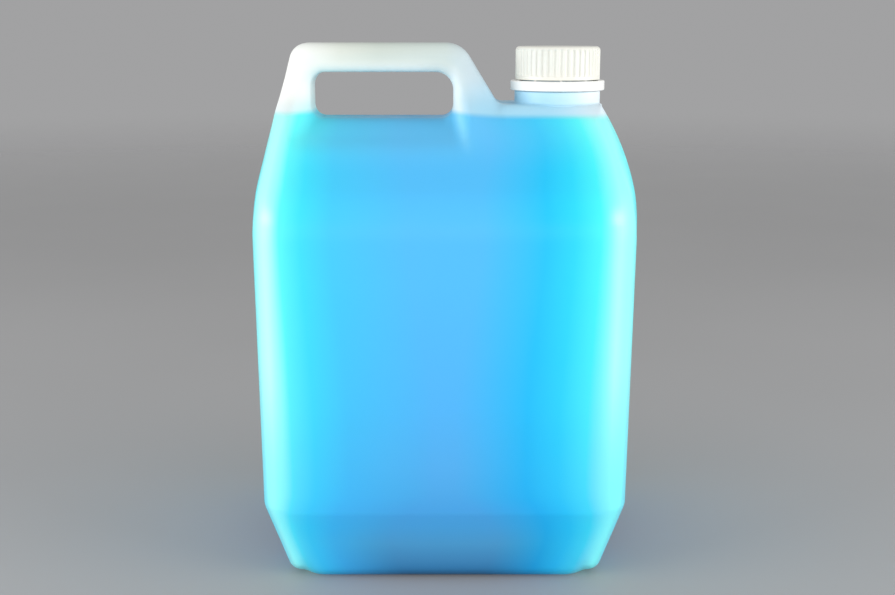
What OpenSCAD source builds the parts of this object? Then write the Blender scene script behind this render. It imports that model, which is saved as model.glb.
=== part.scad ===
// Five litre floor cleaner bottle: blown can with a hollow handle, screw cap,
// tear-off band, sealing wad and the liquid inside. Millimetres, +Z up,
// origin in the middle of the base, front towards -Y.

/* [Body] */
// Width across the side walls below the shoulder
body_w = 181.7; // [170:0.1:195]
// Depth from the front panel to the back panel
body_d = 143; // [120:0.5:160]
// Height of the roof that carries the neck
roof_z = 229; // [215:0.5:245]
// Height where the side walls and panels bend towards the roof
shoulder_z = 183.5; // [170:0.5:190]
// Height of the bend above the tapered foot
foot_z = 37; // [25:0.5:50]
// Width of the foot where it meets the ground
foot_w = 151.8; // [145:0.2:160]
// Depth of the foot where it meets the ground
foot_d = 126.5; // [105:0.5:130]
// Radius of the four upright corners
corner_r = 18; // [12:0.5:22]
// Radius of the upright corners where they meet the ground
foot_corner_r = 11.5; // [9:0.5:16]
// Radius of the edge around the underside
foot_edge_r = 8; // [5:0.25:9]
// Depth of the flat crest under the neck
crest_d = 46; // [40:0.5:50]
// Rise of the hollow in the underside
base_rise = 2.2; // [0:0.1:4]
// Wall thickness
wall = 1.4; // [1:0.1:2]

/* [Handle] */
// Width of the finger hole
hole_w = 70.6; // [60:0.2:74]
// Height of the finger hole
hole_h = 22.4; // [19:0.1:28]
// Right side of the finger hole, from the middle of the bottle
hole_right_x = 4.3; // [0:0.1:8]
// Drop from the roof to the floor of the finger hole
hole_drop = 6.9; // [4:0.1:10]
// Radius of the lower corners of the finger hole
hole_corner_r = 6; // [4:0.1:6.5]
// Thickness of the top bar
bar_t = 14; // [11:0.1:17]
// Depth of the handle from front to back
handle_d = 30; // [26:0.5:36]
// Rounding of the handle's outer edges
handle_edge_r = 6.5; // [4:0.25:8]
// Rounding around the finger hole
hole_edge_r = 5.5; // [4:0.25:6.5]

/* [Neck] */
// Distance of the neck's axis from the right side wall
neck_inset = 34.3; // [32:0.1:38]
// Outer radius of the plain collar on the roof
collar_r = 21.4; // [21:0.1:22]
// Height of the plain collar above the roof
collar_h = 6.1; // [4:0.1:8]
// Outer radius of the neck at the root of the thread
neck_r = 17.6; // [17.2:0.05:18]
// Radius of the bore
bore_r = 15.6; // [14:0.1:16]
// Outer radius of the bead that holds the band down
bead_r = 20.1; // [19.6:0.05:20.4]
// Height of that bead
bead_h = 1.4; // [1:0.1:1.8]
// Height from the top of the band to the rim
rim_rise = 14; // [12:0.1:18]

/* [Cap] */
// Outer radius of the cap
cap_r = 21.1; // [20.6:0.05:21.6]
// Gap between the band and the cap's skirt
band_gap = 0.4; // [0.3:0.05:0.8]
// Thickness of the cap's top
cap_top_t = 1.5; // [1.2:0.1:2.5]
// Inner radius of the skirt
skirt_r = 19; // [18.9:0.05:19.3]
// Rounding of the cap's top edge
cap_edge_r = 2; // [1:0.1:2.5]
// Number of grooves around the cap
groove_n = 44; // [30:1:48]
// Width of a groove
groove_w = 1.2; // [0.6:0.1:1.4]
// Depth of a groove
groove_t = 0.6; // [0.3:0.05:0.9]
// Height of the plain ring below the grooves
cap_ring_h = 1.8; // [1:0.1:4]
// Thickness of the sealing wad
wad_t = 1; // [0.8:0.1:1.5]

/* [Tear-off band] */
// Outer radius of the band
band_r = 23.5; // [22.5:0.1:24.5]
// Height of the band
band_h = 4.8; // [4:0.1:6]
// Gap between the collar and the band
seat_gap = 0.3; // [0.2:0.05:0.6]
// Number of bridges that the cap tears off
bridge_n = 10; // [6:1:16]

/* [Contents] */
// Drop from the roof to the surface of the liquid
fill_drop = 4; // [3:0.5:100]
// Clearance between the liquid and the wall
fill_gap = 0.3; // [0.2:0.05:0.6]

/* [Hidden] */
$fn = 96;

// Finger hole and handle
hole_left_x = hole_right_x - hole_w;
hole_z = roof_z - hole_drop;
hole_top_z = hole_z + hole_h;
top_z = hole_top_z + bar_t;
// Radii of the upper corners of the finger hole
hole_left_r = hole_corner_r * 1.13;
hole_right_r = hole_corner_r * 1.48;
// Neck, band and cap, from the roof up
neck_x = body_w / 2 - neck_inset;
collar_z = roof_z + collar_h;
band_z = collar_z + seat_gap;
band_top_z = band_z + band_h;
skirt_z = band_top_z + band_gap;
rim_z = band_top_z + rim_rise;
touch = 0.05;
wad_z = rim_z + touch;
cap_inner_z = wad_z + wad_t + touch;
cap_z = cap_inner_z + cap_top_t;
roof_end_x = neck_x + collar_r - 1.2;
bead_z = band_top_z - 1.2 - bead_h;
fill_z = roof_z - fill_drop;
// Radii of the soft bends in the outline and in the side view
foot_bend_r = 10;
shoulder_bend_r = 32;
crest_edge_r = 3;
lean_r = 150;
knee_r = 80;
right_arc_r = 98;
bar_left_r = 9;
bar_right_r = 14;
leg_fillet_r = 6;
// Half widths of the walls at the foot bend and at the shoulder
wall_lean = 1.8;
bend_half = body_w / 2 - wall_lean;
wall_half = body_w / 2;
// Outer edges of the handle's legs at the top bar and at their roots
leg_left_top = hole_left_x - 8.3;
leg_left_low = hole_left_x - 16.4;
leg_right_top = hole_right_x + 4;
leg_right_low = hole_right_x + 22.1;
// Drop from the roof to the corner behind the long right-hand arc
arc_drop = 25;
// Rounding of the edges at the roof's height
roof_edge_r = 8;
// Lengths over which the tight edge of the crest fades in at the handle, out at the right
// shoulder, and downwards
brim_fade_in = 5;
brim_fade_out = 14;
brim_drop = 12;
// Pocket around the finger hole: its depth below the hole, how far it starts above
// the hole's floor, and the power of its curve
pocket_h = 26;
pocket_rise = 3;
pocket_power = 1.6;
// Height below the shoulder where the rows start to follow the roof
row_drop = 12;
// Shares of a radius that a corner cuts off at 45 and at 22.5 degrees
lift = 1 - cos(45);
rise_in = 1 - sin(22.5);
rise_up = 1 - cos(22.5);
// Roots of the collar and of the bore below the roof
collar_root = 7;
bore_root = 12;
// Width of the flat rim around the hollow underside, and of its slope
rim_w = 5;
rim_slope_w = 10;
// Play of the band around the neck, around the bead and under it
neck_play = 1.1;
bead_play = 0.4;
bead_rest = 0.15;
// A bridge: distance from the skirt's inside, radial size, width, root in the band
bridge_in = 1.2;
bridge_t = 0.7;
bridge_w = 1;
bridge_root = 0.5;
// Clearance of the wad inside the skirt
wad_play = 0.4;
// Grid sizes: columns over the left leg, the hole, the right leg, the roof and the right side
leg_n = 5;
hole_n = 8;
roof_n = 3;
side_n = 4;

// Vertices of the outline as [x, z, radius], clockwise from the middle of the base
left_corners = [
    [0, 0, 0], [-foot_w / 2, 0, foot_edge_r], [-bend_half, foot_z, foot_bend_r],
    [0.4 - wall_half, shoulder_z, lean_r], [leg_left_low, roof_z - 1, knee_r]];
top_corners = [[leg_left_top, top_z, bar_left_r], [leg_right_top, top_z, bar_right_r]];
right_corners = [
    [leg_right_low, roof_z, leg_fillet_r], [roof_end_x, roof_z, 0.5],
    [wall_half, roof_z - arc_drop, right_arc_r], [bend_half, foot_z, foot_bend_r],
    [foot_w / 2, 0, foot_edge_r], [0, 0, 0]];
outline_corners = concat(left_corners, top_corners, right_corners);
// Side view as [-half depth, z, radius], from the middle of the base to the crest
side_corners = [
    [0, 0, 0], [-foot_d / 2, 0, foot_edge_r], [-body_d / 2, foot_z, foot_bend_r],
    [-body_d / 2, shoulder_z, shoulder_bend_r], [-crest_d / 2, roof_z, crest_edge_r],
    [0, roof_z, 0]];
// Side view where the roof runs on into the handle
roof_slope = (roof_z - shoulder_z) / (body_d - crest_d);
handle_side_corners = [
    side_corners[0], side_corners[1], side_corners[2], side_corners[3],
    [-handle_d / 2, roof_z + (crest_d - handle_d) * roof_slope, 20], [-handle_d / 2, top_z + 20, 0]];
// Finger hole, counter-clockwise from the middle of its floor
hole_mid_x = (hole_left_x + hole_right_x) / 2;
hole_corners = [
    [hole_mid_x, hole_z, 0], [hole_right_x, hole_z, hole_corner_r],
    [hole_right_x, hole_top_z, hole_right_r], [hole_left_x, hole_top_z, hole_left_r],
    [hole_left_x, hole_z, hole_corner_r], [hole_mid_x, hole_z, 0]];

function unit(v) = v / norm(v);
function flat(p) = [p[0], p[1]];
function right_of(a, b) = let (d = unit(flat(b) - flat(a))) [d[1], -d[0]];
function smooth(t) = let (c = max(0, min(1, t))) c * c * (3 - 2 * c);
function mix(a, b, t) = a + (b - a) * t;

// A path of corners moved by o to its right-hand side
function inset(path, o) = let (last = len(path) - 1) [
    for (k = [0:last])
        let (
            p = path[k],
            n1 = k > 0 ? right_of(path[k - 1], p) : right_of(p, path[k + 1]),
            n2 = k < last ? right_of(p, path[k + 1]) : n1,
            turns_left = n1[0] * n2[1] - n1[1] * n2[0] > 0,
            move = (n1 + n2) * o / (1 + n1 * n2))
        [p[0] + move[0], p[1] + move[1], max(0.2, p[2] + (turns_left ? o : -o))]];

// A path of corners with each corner rounded to its radius
function rounded(path) = let (last = len(path) - 1) [
    flat(path[0]),
    for (k = [1:last - 1])
        let (
            p = flat(path[k]),
            u = unit(flat(path[k - 1]) - p),
            w = unit(flat(path[k + 1]) - p),
            half = acos(max(-1, min(1, u * w))) / 2,
            r = path[k][2],
            mid = p + unit(u + w) * r / sin(half),
            from = p + u * r / tan(half) - mid,
            to = p + w * r / tan(half) - mid,
            a0 = atan2(from[1], from[0]),
            turn = atan2(from[0] * to[1] - from[1] * to[0], from * to),
            n = max(2, ceil(abs(turn) / 12)))
        for (i = [0:n]) mid + r * [cos(a0 + turn * i / n), sin(a0 + turn * i / n)],
    flat(path[last])];

function part_of(list, a, b) = [for (k = [a:b]) list[k]];
function seg_gap(p, a, b) = let (
    d = b - a,
    t = max(0, min(1, ((p - a) * d) / max(d * d, 1e-9))))
    norm(p - a - t * d);
function path_gap(p, path) = min([for (k = [0:len(path) - 2]) seg_gap(p, path[k], path[k + 1])]);

// Length along a path up to each of its points, and n + 1 points evenly spaced along it
function run(path, k = 0, sum = 0) = k == len(path) - 1 ? [sum] :
    concat([sum], run(path, k + 1, sum + norm(path[k + 1] - path[k])));
function spaced(path, n) = let (
    s = run(path),
    xs = [for (k = [0:len(path) - 1]) [s[k] + k * 1e-7, path[k][0]]],
    zs = [for (k = [0:len(path) - 1]) [s[k] + k * 1e-7, path[k][1]]],
    total = s[len(s) - 1])
    [for (i = [0:n]) [lookup(total * i / n, xs), lookup(total * i / n, zs)]];

// Drop of an edge rounded to radius r, at a distance d inside that edge
function edge_drop(d, r) = let (q = max(0, 1 - d / max(r, 0.01))) r * (1 - sqrt(max(0, 1 - q * q)));

// Everything that one skin needs, o inside the outer surface
function skin(o) = let (
    outline = rounded(inset(outline_corners, o)),
    left = rounded(inset(concat(left_corners, [top_corners[0]]), o)),
    right = rounded(inset(part_of(right_corners, 1, 5), o)),
    side = rounded(inset(side_corners, o)),
    handle_side = rounded(inset(handle_side_corners, o)),
    hole = rounded(inset(hole_corners, o)))
    [o, part_of(outline, 1, len(outline) - 2), hole,
        [for (k = [1:len(left) - 1]) [left[k][1], left[k][0]]],
        [for (k = [len(right) - 2:-1:0]) [right[k][1], right[k][0]]],
        [for (k = [1:len(side) - 2]) [side[k][1], -side[k][0]]],
        [for (k = [1:len(handle_side) - 1]) [handle_side[k][1], -handle_side[k][0]]]];

function left_x(s, z) = lookup(z, s[3]);
function right_x(s, z) = lookup(z, s[4]);

// Half depth before the edges are rounded: the roof on the neck's side, and the
// pocket that dips to the handle's depth around the finger hole
function deep(s, x, z) = let (
    handle = handle_d / 2 - s[0],
    roof = lookup(z, x < neck_x - collar_r ? s[6] : s[5]),
    dip = handle + (body_d / 2) * pow(max(0, hole_z + pocket_rise - z) / pocket_h, pocket_power),
    beside = max(smooth((x - hole_right_x + 1) / 10), smooth((hole_left_x + 2 - x) / 12)))
    mix(min(roof, dip), roof, beside);

// Rounding radius of the outline's edges at height z
function edge_r(s, z) = lookup(z, [
    [0, foot_corner_r], [foot_z, corner_r], [shoulder_z, corner_r],
    [roof_z, roof_edge_r], [roof_z + roof_edge_r, handle_edge_r]]) - s[0];

// The same at a point, tighter along the crest between the handle and the neck
function brim_r(s, p) = mix(edge_r(s, p[1]), crest_edge_r - s[0],
    smooth((p[0] - leg_right_low) / brim_fade_in) * smooth((roof_end_x - p[0]) / brim_fade_out)
        * smooth((p[1] - roof_z) / brim_drop + 1));

// Half depth of a skin at a point of the front view
function half_deep(s, p) = let (d = deep(s, p[0], p[1]))
    d - edge_drop(path_gap(p, s[1]), min(brim_r(s, p), d - 3))
      - edge_drop(path_gap(p, s[2]), hole_edge_r - s[0]);

// Front-view points of the body: rows from the base up to the top row, which runs
// over the left leg's root, the floor of the hole, the right leg's root and the roof
cols = leg_n + hole_n + leg_n + roof_n + side_n;
function top_row(s) = let (
    o = s[0],
    r = hole_corner_r + o,
    floor_z = hole_z - o,
    x0 = hole_left_x - o,
    x1 = hole_right_x + o,
    z0 = floor_z + r * lift,
    fillet_x = leg_right_low + (leg_fillet_r + o) * 0.6,
    end_x = right_x(s, roof_z - o),
    side_r = min(edge_r(s, roof_z), (end_x - fillet_x) / 2))
    concat(
        [for (k = [0:leg_n - 1]) [mix(left_x(s, z0), x0 + r * lift, (1 - cos(180 * k / leg_n)) / 2), z0]],
        [[x0 + r * lift, z0], [x0 + r * rise_in, floor_z + r * rise_up]],
        [for (k = [0:hole_n - 4]) [mix(x0 + r, x1 - r, k / (hole_n - 4)), floor_z]],
        [[x1 - r * rise_in, floor_z + r * rise_up]],
        [for (k = [0:leg_n - 1]) let (t = (1 - cos(180 * k / leg_n)) / 2)
            [mix(x1 - r * lift, fillet_x, t), mix(z0, roof_z - o, smooth(t))]],
        [for (k = [0:roof_n - 1]) [mix(fillet_x, end_x - side_r, k / roof_n), roof_z - o]],
        [for (k = [0:side_n]) [end_x - side_r * (1 - sin(90 * k / side_n)), roof_z - o]]);

function low_row(s, z) = let (
    o = s[0],
    x0 = left_x(s, z),
    x1 = right_x(s, z),
    r = edge_r(s, z),
    a = max(hole_left_x, x0 + r + 2),
    b = hole_right_x,
    c = leg_right_low + 4)
    concat(
        [for (k = [0:leg_n - 1]) [k == 0 ? x0 : x0 + r * (1 - cos(90 * k / (leg_n - 1))), z]],
        [for (k = [0:hole_n - 1]) [mix(a, b, k / hole_n), z]],
        [for (k = [0:leg_n - 1]) [mix(b, c, k / leg_n), z]],
        [for (k = [0:roof_n - 1]) [mix(c, x1 - r, k / roof_n), z]],
        [for (k = [0:side_n]) [x1 - r * (1 - sin(90 * k / side_n)), z]]);

low_z = [foot_z * 0.55, foot_z - 4, foot_z, foot_z + 4,
    for (t = [0.3, 0.6, 0.85, 1]) mix(foot_z, shoulder_z - row_drop, t)];
roof_steps = [0.1, 0.2, 0.3, 0.4, 0.5, 0.6, 0.7, 0.79, 0.87, 0.93, 0.97, 1];
function body_rows(s) = let (
    o = s[0],
    r = foot_edge_r - o,
    start = shoulder_z - row_drop,
    top = top_row(s),
    low = low_row(s, start))
    concat(
        [for (a = [0:30:90]) low_row(s, o + r * (1 - cos(a)))],
        [for (z = low_z) low_row(s, z)],
        [for (q = roof_steps) [for (i = [0:cols]) let (
            z = mix(start, top[i][1], q),
            x = mix(low[i][0], top[i][0], smooth(q)),
            z_left = left_x(s, z),
            z_right = right_x(s, z))
            q == 1 ? top[i] : i == 0 ? [z_left, z] : i == cols ? [z_right, z] :
            [max(z_left + 0.1 * i, min(z_right - 0.1 * (cols - i), x)), z]]]);

// Front-view points of the handle: a ring of sections from the left leg's root over
// the bar to the right leg's root, each from the outline to the finger hole
function handle_ring(s) = let (
    o = s[0],
    c = inset(outline_corners, o),
    h = inset(hole_corners, o),
    x0 = h[3][0],
    x1 = h[1][0],
    low = h[0][1],
    high = h[2][1],
    r_low = h[4][2],
    r_left = h[3][2],
    r_right = h[2][2],
    z0 = low + r_low * lift,
    z_left = high - r_left,
    z_right = high - r_right,
    bar_z = high + bar_t - 2 * o,
    slope_x = mix(c[6][0], c[7][0], (c[6][1] - z_right) / (c[6][1] - c[7][1])),
    left_bend = rounded([c[4], c[5], c[6]]),
    right_bend = rounded([c[5], c[6], c[7]]),
    fillet = rounded([c[6], c[7], c[8]]),
    fillet_x = leg_right_low + (leg_fillet_r + o) * 0.6,
    outer = [
        [[left_x(s, z0), z0], [left_x(s, z_left), z_left]],
        concat([[left_x(s, z_left), z_left]], part_of(left_bend, 1, len(left_bend) - 2),
            [[x0 + r_left, bar_z]]),
        [[x0 + r_left, bar_z], [x1 - r_right, bar_z]],
        concat([[x1 - r_right, bar_z]], part_of(right_bend, 1, len(right_bend) - 2), [[slope_x, z_right]]),
        concat([[slope_x, z_right]],
            [for (p = fillet) if (p[1] < z_right && p[0] < fillet_x - 0.2 && p[0] > slope_x) p],
            [[fillet_x, roof_z - o]])],
    inner = [
        [[x0 + r_low * lift, z0], [x0 + r_low * rise_up, low + r_low * rise_in],
            [x0, low + r_low], [x0, z_left]],
        [for (a = [180:-15:90]) [x0 + r_left + r_left * cos(a), z_left + r_left * sin(a)]],
        [[x0 + r_left, high], [x1 - r_right, high]],
        [for (a = [90:-15:0]) [x1 - r_right + r_right * cos(a), z_right + r_right * sin(a)]],
        [[x1, z_right], [x1, low + r_low], [x1 - r_low * rise_up, low + r_low * rise_in],
            [x1 - r_low * lift, z0]]],
    counts = [4, 8, 5, 8, 6],
    outs = [for (k = [0:4]) spaced(outer[k], counts[k])],
    ins = [for (k = [0:4]) spaced(inner[k], counts[k])])
    [for (k = [0:4]) for (i = [0:counts[k] - (k == 4 ? 0 : 1)])
        [for (m = [0:leg_n]) mix(outs[k][i], ins[k][i], (1 - cos(180 * m / leg_n)) / 2)]];

// Hollow in the underside
function hollow(x, y) = let (in = min(foot_w / 2 - abs(x), foot_d / 2 - abs(y)) - foot_edge_r)
    base_rise * smooth((in - rim_w) / rim_slope_w);

// The closed skin at a distance o inside the outer surface
module can(o) {
    s = skin(o);
    body = body_rows(s);
    ring = handle_ring(s);
    rows = len(body) - 1;
    last = len(ring) - 1;
    body_n = (rows + 1) * (cols + 1);
    front = concat(
        [for (row = body) for (p = row) p],
        [for (u = [1:last - 1]) for (p = ring[u]) p]);
    depth = [for (p = front) half_deep(s, p)];
    n = len(front);
    right_root = leg_n + hole_n + leg_n;
    rim_y = foot_d / 2 - foot_edge_r - rim_w;
    under = [for (i = [1:cols - 1]) let (
        x = body[0][i][0],
        a = min(rim_y, 0.94 * depth[i]),
        b = min(rim_y - rim_slope_w, 0.75 * depth[i]))
        for (y = [-a, -b, b, a]) [x, y, o + hollow(x, y)]];
    function at(i, j) = j * (cols + 1) + i;
    function bar(u, k) = u == 0 ? at(k, rows) : u == last ? at(right_root - k, rows) :
        body_n + (u - 1) * (leg_n + 1) + k;
    function below(i, m) = m == 0 ? at(i, 0) : m == 5 ? n + at(i, 0) : 2 * n + (i - 1) * 4 + m - 1;
    cells = concat(
        [for (j = [0:rows - 1]) for (i = [0:cols - 1])
            [at(i, j), at(i, j + 1), at(i + 1, j + 1), at(i + 1, j)]],
        [for (u = [0:last - 1]) for (k = [0:leg_n - 1])
            [bar(u, k), bar(u + 1, k), bar(u + 1, k + 1), bar(u, k + 1)]]);
    edges = concat(
        [for (j = [0:rows - 1]) [at(0, j), at(0, j + 1)]],
        [for (j = [0:rows - 1]) [at(cols, j + 1), at(cols, j)]],
        [for (i = [leg_n:leg_n + hole_n - 1]) [at(i, rows), at(i + 1, rows)]],
        [for (i = [right_root:cols - 1]) [at(i, rows), at(i + 1, rows)]],
        [for (u = [0:last - 1]) [bar(u, 0), bar(u + 1, 0)]],
        [for (u = [0:last - 1]) [bar(u + 1, leg_n), bar(u, leg_n)]]);
    faces = concat(
        [for (c = cells) [c[0], c[1], c[2]]], [for (c = cells) [c[0], c[2], c[3]]],
        [for (c = cells) [n + c[2], n + c[1], n + c[0]]], [for (c = cells) [n + c[3], n + c[2], n + c[0]]],
        [for (e = edges) [e[1], e[0], n + e[0], n + e[1]]],
        [for (i = [1:cols - 2]) for (m = [0:4]) [below(i, m), below(i + 1, m), below(i + 1, m + 1)]],
        [for (i = [1:cols - 2]) for (m = [0:4]) [below(i, m), below(i + 1, m + 1), below(i, m + 1)]],
        [concat([at(0, 0)], [for (m = [0:5]) below(1, m)], [n + at(0, 0)])],
        [concat([at(cols, 0), n + at(cols, 0)], [for (m = [5:-1:0]) below(cols - 1, m)])]);
    polyhedron(
        concat(
            [for (k = [0:n - 1]) [front[k][0], -depth[k], front[k][1]]],
            [for (k = [0:n - 1]) [front[k][0], depth[k], front[k][1]]],
            under),
        faces, convexity = 8);
}

// One blown piece: body, hollow handle and neck
module bottle() {
    color([0.9, 0.95, 0.96, 0.7])
    difference() {
        union() {
            can(0);
            translate([neck_x, 0, roof_z - collar_root]) cylinder(r = collar_r, h = collar_h + collar_root);
            translate([neck_x, 0, roof_z]) cylinder(r = neck_r, h = rim_z - roof_z);
            translate([neck_x, 0, bead_z]) cylinder(r = bead_r, h = bead_h);
        }
        can(wall);
        translate([neck_x, 0, roof_z - bore_root]) cylinder(r = bore_r, h = rim_z - roof_z + 2 * bore_root);
    }
}

// The floor cleaner, up to its level surface
module liquid() {
    color([0.3, 0.75, 0.97])
    intersection() {
        can(wall + fill_gap);
        translate([-body_w, -body_d, -1]) cube([2 * body_w, 2 * body_d, fill_z + 1]);
    }
}

// Band under the cap: it turns on the neck under the bead and carries the bridges
module tamper_band() {
    color("white")
    translate([neck_x, 0, 0]) {
        difference() {
            translate([0, 0, band_z]) cylinder(r = band_r, h = band_h);
            translate([0, 0, band_z - 1]) cylinder(r = neck_r + neck_play, h = band_h + 2);
            translate([0, 0, bead_z - bead_rest]) cylinder(r = bead_r + bead_play, h = band_h);
        }
        for (k = [0:bridge_n - 1])
            rotate([0, 0, 360 * (k + 0.5) / bridge_n])
            translate([skirt_r + bridge_in, -bridge_w / 2, band_top_z - bridge_root])
            cube([bridge_t, bridge_w, bridge_root + band_gap - touch]);
    }
}

// Soft disc that closes the rim
module sealing_wad() {
    color([0.93, 0.94, 0.92])
    translate([neck_x, 0, wad_z]) cylinder(r = skirt_r - wad_play, h = wad_t);
}

// Screw cap with a grooved skirt
module cap() {
    groove_z = skirt_z + cap_ring_h;
    edge = [for (a = [0:15:90])
        [cap_r - cap_edge_r * (1 - cos(a)), cap_z - cap_edge_r * (1 - sin(a))]];
    color([0.97, 0.97, 0.95])
    translate([neck_x, 0, 0])
    difference() {
        rotate_extrude() polygon(concat([[0, skirt_z], [cap_r, skirt_z]], edge, [[0, cap_z]]));
        translate([0, 0, skirt_z - 1]) cylinder(r = skirt_r, h = cap_inner_z - skirt_z + 1);
        for (k = [0:groove_n - 1])
            rotate([0, 0, 360 * k / groove_n])
            translate([cap_r - groove_t, 0, groove_z])
            linear_extrude(cap_z - cap_edge_r / 2 - groove_z)
            polygon([[0, -groove_w / 3], [groove_t * 2, -groove_w],
                [groove_t * 2, groove_w], [0, groove_w / 3]]);
    }
}

bottle();
liquid();
tamper_band();
sealing_wad();
cap();
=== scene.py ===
import math
import bpy
import numpy as np
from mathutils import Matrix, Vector


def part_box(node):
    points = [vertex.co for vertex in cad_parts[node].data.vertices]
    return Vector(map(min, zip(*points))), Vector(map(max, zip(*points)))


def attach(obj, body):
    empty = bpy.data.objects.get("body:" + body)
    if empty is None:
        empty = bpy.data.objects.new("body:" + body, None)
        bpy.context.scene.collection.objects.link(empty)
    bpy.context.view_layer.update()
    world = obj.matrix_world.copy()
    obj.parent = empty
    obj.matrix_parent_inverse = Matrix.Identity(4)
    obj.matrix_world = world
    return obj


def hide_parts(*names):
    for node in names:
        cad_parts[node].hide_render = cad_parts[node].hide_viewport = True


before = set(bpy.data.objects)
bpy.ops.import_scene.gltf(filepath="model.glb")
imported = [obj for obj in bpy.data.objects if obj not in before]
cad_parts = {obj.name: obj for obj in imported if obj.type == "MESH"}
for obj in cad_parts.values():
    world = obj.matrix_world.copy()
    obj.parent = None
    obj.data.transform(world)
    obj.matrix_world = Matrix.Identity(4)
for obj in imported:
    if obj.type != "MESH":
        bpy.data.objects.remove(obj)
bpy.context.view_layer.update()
print("frame loaded:", ", ".join(sorted(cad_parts)))

# Lengths are in millimetres here, and become metres when a mesh is made
metre = 0.001
nodeBox = {name: [np.array(corner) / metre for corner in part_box(name)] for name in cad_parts}


# Small helpers

def mix(a, b, t):
    return a + (b - a) * t


# 0 below 0, 1 above 1, and a soft S between them
def ease(t):
    t = np.clip(t, 0, 1)
    return t * t * (3 - 2 * t)


# n + 1 shares from 0 to 1, close together at both ends
def endDense(n):
    return (1 - np.cos(np.linspace(0, np.pi, n + 1))) / 2


# n + 1 shares from 0 to 1, close together at the start
def startDense(n):
    return 1 - np.cos(np.linspace(0, np.pi / 2, n + 1))


# Mesh making

# Quads over a grid of points, wound so that rows x columns gives the outward side
def gridFaces(rows, cols, first=0, flip=False):
    index = first + np.arange(rows * cols).reshape(rows, cols)
    quads = np.stack([index[:-1, :-1], index[1:, :-1], index[1:, 1:], index[:-1, 1:]], axis=-1)
    quads = quads.reshape(-1, 4)
    return quads[:, ::-1] if flip else quads


# One mesh from several grids of points, with shared edges and poles welded
def meshFromGrids(name, grids):
    points, faces, count = [], [], 0
    for grid, flip in grids:
        rows, cols = grid.shape[:2]
        points.append(grid.reshape(-1, 3))
        faces.append(gridFaces(rows, cols, count, flip))
        count += rows * cols
    points, faces = np.vstack(points) * metre, np.vstack(faces)
    key = np.round(points / 2e-6).astype(np.int64)
    _, first, place = np.unique(key, axis=0, return_index=True, return_inverse=True)
    points, faces = points[first], place.reshape(-1)[faces]
    mesh = bpy.data.meshes.new(name)
    mesh.from_pydata(points.tolist(), [], faceLists(faces))
    mesh.validate()
    return mesh


# Quads with a welded corner become triangles, and those without area are dropped
def faceLists(quads):
    same = quads == np.roll(quads, -1, axis=1)
    whole = quads[~same.any(axis=1)].tolist()
    once = quads[same.sum(axis=1) == 1]
    keep = ~same[same.sum(axis=1) == 1]
    return whole + once[keep].reshape(-1, 3).tolist()


def newPiece(name, mesh, smoothAngle=32):
    mesh.polygons.foreach_set("use_smooth", [True] * len(mesh.polygons))
    mesh.set_sharp_from_angle(angle=math.radians(smoothAngle))
    piece = bpy.data.objects.new(name, mesh)
    bpy.context.scene.collection.objects.link(piece)
    return piece


# Joins or cuts closed meshes, in the order given, and returns the mesh that is left
def solidWork(name, mesh, steps):
    worker = bpy.data.objects.new(name, mesh)
    bpy.context.scene.collection.objects.link(worker)
    helpers = []
    for operation, other in steps:
        helper = bpy.data.objects.new(name + operation, other)
        bpy.context.scene.collection.objects.link(helper)
        helpers.append(helper)
        cut = worker.modifiers.new(operation, "BOOLEAN")
        cut.operation = operation
        cut.object = helper
        cut.solver = "MANIFOLD"
    bpy.context.view_layer.update()
    made = bpy.data.meshes.new_from_object(worker.evaluated_get(bpy.context.evaluated_depsgraph_get()))
    for helper in [worker] + helpers:
        bpy.data.objects.remove(helper)
    made.name = name
    made.materials.clear()
    made.polygons.foreach_set("material_index", [0] * len(made.polygons))
    return made


def vertexPlaces(mesh):
    places = np.zeros(len(mesh.vertices) * 3, np.float32)
    mesh.vertices.foreach_get("co", places)
    return places.reshape(-1, 3).astype(float) / metre


def triangleCount(mesh):
    return sum(len(face.vertices) - 2 for face in mesh.polygons)


def writeAttribute(mesh, name, values):
    layer = mesh.attributes.new(name, "FLOAT", "POINT")
    layer.data.foreach_set("value", np.ascontiguousarray(values, np.float32))


# Paths in the front view or the side view: rows of [across, up, radius]

# Every corner moves by gap to the right-hand side of its path
def insetPath(path, gap):
    path = np.array(path, float)
    step = np.diff(path[:, :2], axis=0)
    step /= np.linalg.norm(step, axis=1)[:, None]
    normal = np.column_stack([step[:, 1], -step[:, 0]])
    before, after = np.vstack([normal[:1], normal]), np.vstack([normal, normal[-1:]])
    move = (before + after) * gap / (1 + (before * after).sum(axis=1))[:, None]
    turnsLeft = before[:, 0] * after[:, 1] - before[:, 1] * after[:, 0] > 0
    radius = np.maximum(0.2, path[:, 2] + np.where(turnsLeft, gap, -gap))
    return np.column_stack([path[:, :2] + move, radius])


# The ends stay, and each inner corner becomes the arc of its radius that touches both its sides
def roundedPath(path, degrees=3):
    path = np.asarray(path, float)
    parts = [path[:1, :2]]
    for before, corner, after in zip(path[:-2], path[1:-1], path[2:]):
        back, ahead = before[:2] - corner[:2], after[:2] - corner[:2]
        back, ahead = back / np.linalg.norm(back), ahead / np.linalg.norm(ahead)
        half = math.acos(np.clip(back @ ahead, -1, 1)) / 2
        radius, bisector = corner[2], (back + ahead) / np.linalg.norm(back + ahead)
        middle = corner[:2] + bisector * radius / math.sin(half)
        start = corner[:2] + back * radius / math.tan(half) - middle
        end = corner[:2] + ahead * radius / math.tan(half) - middle
        turn = math.atan2(start[0] * end[1] - start[1] * end[0], start @ end)
        steps = max(3, math.ceil(abs(math.degrees(turn)) / degrees))
        angle = math.atan2(start[1], start[0]) + turn * np.linspace(0, 1, steps + 1)
        parts.append(middle + radius * np.column_stack([np.cos(angle), np.sin(angle)]))
    parts.append(path[-1:, :2])
    return np.vstack(parts)


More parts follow.
